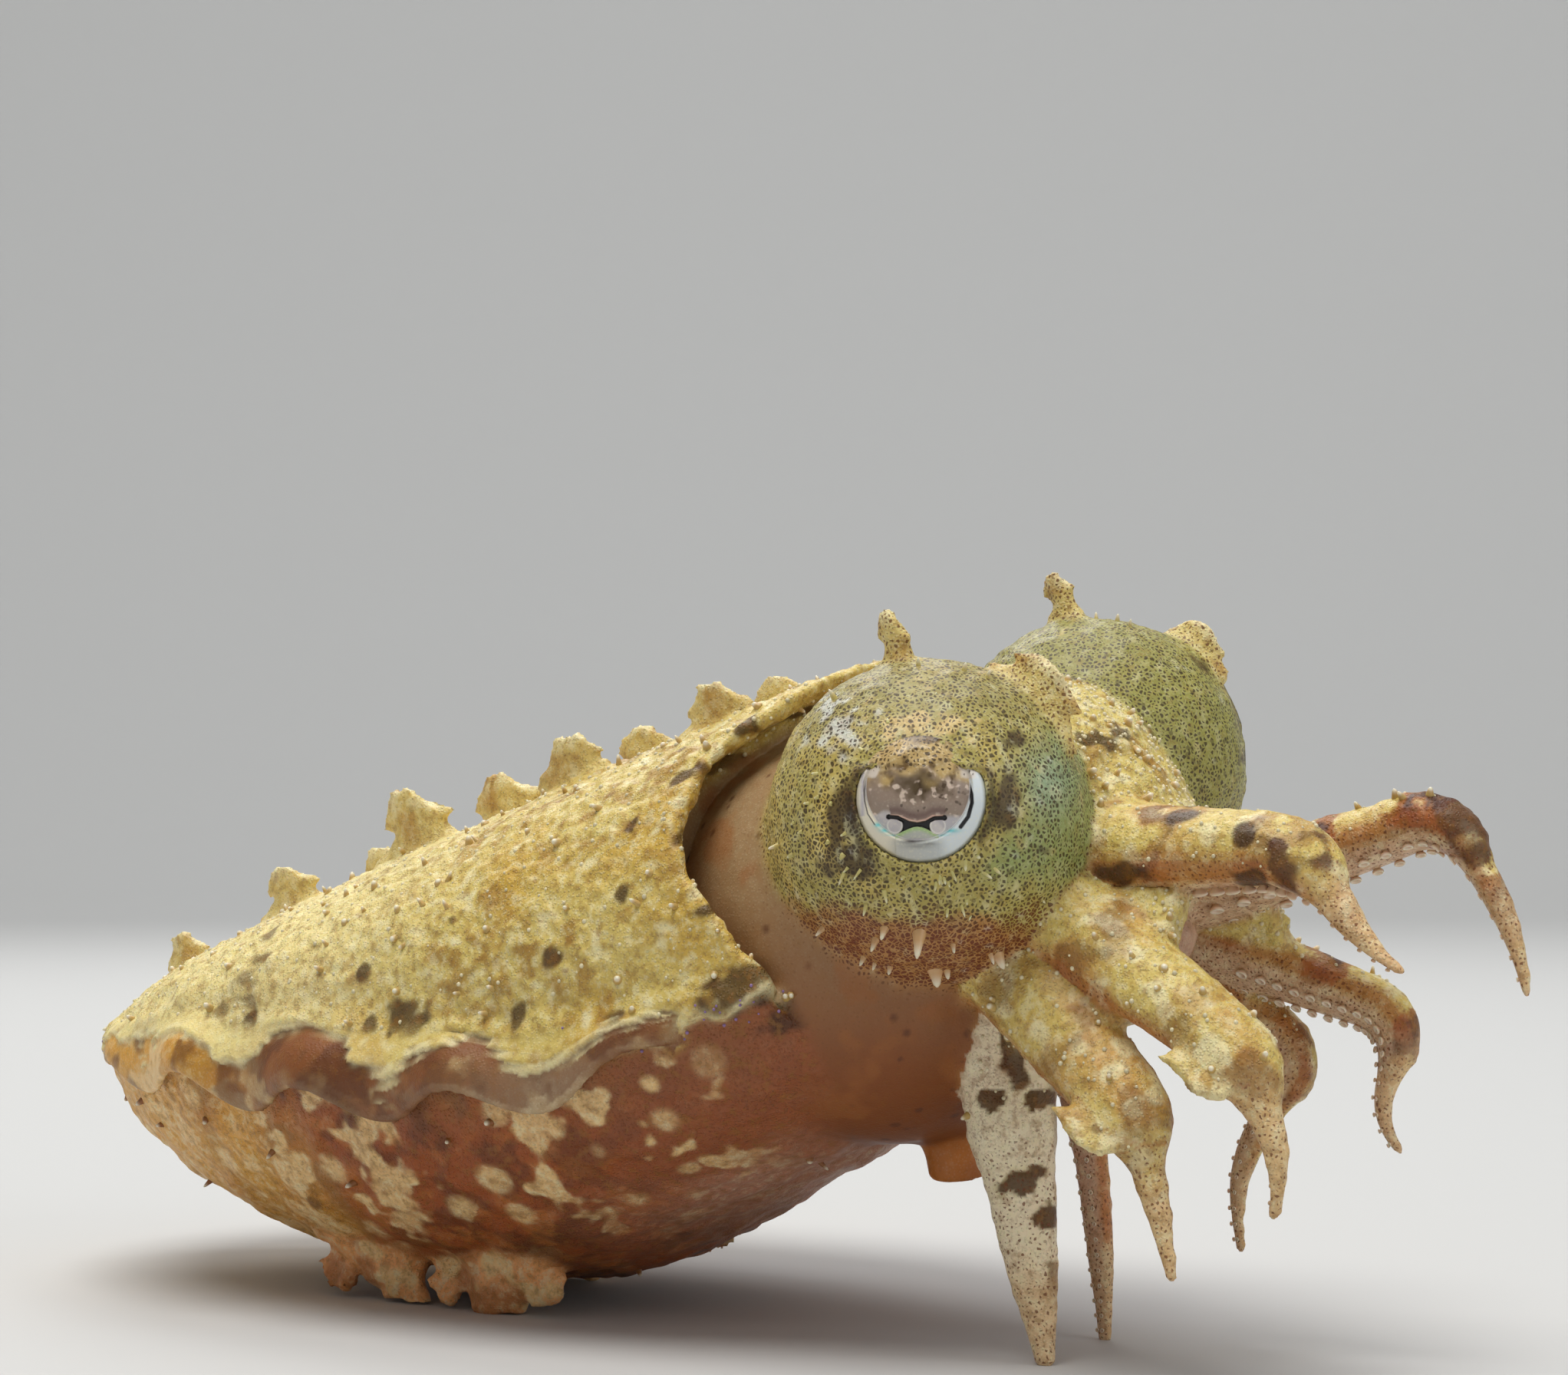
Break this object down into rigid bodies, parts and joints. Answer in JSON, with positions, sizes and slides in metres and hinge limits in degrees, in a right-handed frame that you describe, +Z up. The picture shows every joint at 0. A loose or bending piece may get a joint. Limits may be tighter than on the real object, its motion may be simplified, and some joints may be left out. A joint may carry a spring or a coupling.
{
  "type": "dwarf cuttlefish",
  "caption": "Life-size young dwarf cuttlefish, walking pose: ringed eye domes, bent suckered arms, mantle with side fins and upright skin flaps.",
  "frame": {"origin": "middle of the model's box, on the floor it stands on", "axes": "+X towards the arms, +Y to the animal's left, +Z up"},
  "size_m": [0.0448, 0.022, 0.0205],
  "materials": {
    "mantle_skin": "moist, rough skin, yellow above and rust below with pale blotches",
    "collar_skin": "smooth, moist tan skin",
    "head_skin": "moist skin with a net of small dark spots",
    "arm_skin": "moist skin, banded brown and cream",
    "fin_skin": "thin, slightly see-through skin",
    "eye": "wet and silvery with a dark wavy pupil"
  },
  "bodies": {
    "root": {"mantle": "mantle_skin", "neck": "collar_skin", "head": "head_skin", "funnel": "collar_skin", "mouth": "collar_skin", "eye_right": "eye", "eye_left": "eye", "fin_right": "fin_skin", "fin_left": "fin_skin", "arm_r1_upper": "arm_skin", "arm_r1_lower": "arm_skin", "arm_r2_upper": "arm_skin", "arm_r2_lower": "arm_skin", "arm_r3_upper": "arm_skin", "arm_r3_lower": "arm_skin", "arm_r4_upper": "arm_skin", "arm_r4_lower": "arm_skin", "arm_l1_upper": "arm_skin", "arm_l1_lower": "arm_skin", "arm_l2_upper": "arm_skin", "arm_l2_lower": "arm_skin", "arm_l3_upper": "arm_skin", "arm_l3_lower": "arm_skin", "arm_l4_upper": "arm_skin", "arm_l4_lower": "arm_skin"}
  },
  "joints": []
}
